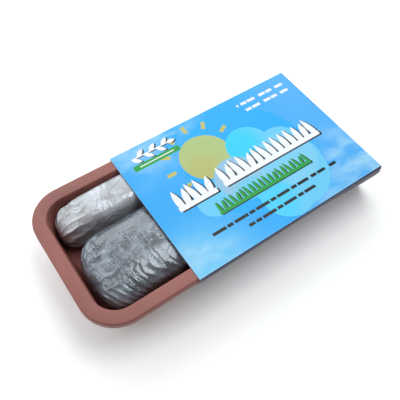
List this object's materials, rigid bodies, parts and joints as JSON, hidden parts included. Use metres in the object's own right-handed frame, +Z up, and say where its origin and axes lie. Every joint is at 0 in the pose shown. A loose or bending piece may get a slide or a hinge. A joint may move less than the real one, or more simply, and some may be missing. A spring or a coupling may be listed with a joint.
{
  "type": "wheatgrass growing kit",
  "caption": "Shallow rectangular growing tray with pouches of seed and substrate lying in it, in a card sleeve that slides off along its length.",
  "frame": {"origin": "on the surface that the kit lies on, under the middle of its bounding box", "axes": "+X along the kit's length towards the sleeve's free mouth, +Y across it towards the seed pouch, +Z up"},
  "size_m": [0.242, 0.12, 0.0372],
  "materials": {
    "terracotta_plastic": "satin",
    "printed_card": "satin",
    "clear_film": "gloss",
    "wheat_grain": "satin",
    "growing_substrate": "matte"
  },
  "bodies": {
    "tray_body": {"tray": "terracotta_plastic", "seed_pouch": "clear_film", "seed_fill": "wheat_grain", "substrate_pouch": "clear_film", "substrate_fill": "growing_substrate"},
    "sleeve_body": {"sleeve": "printed_card"}
  },
  "joints": [
    {"name": "sleeve_slide", "type": "slide", "parent": "tray_body", "child": "sleeve_body", "axis": [1, 0, 0], "range_m": [-0.232, 0.084]}
  ]
}
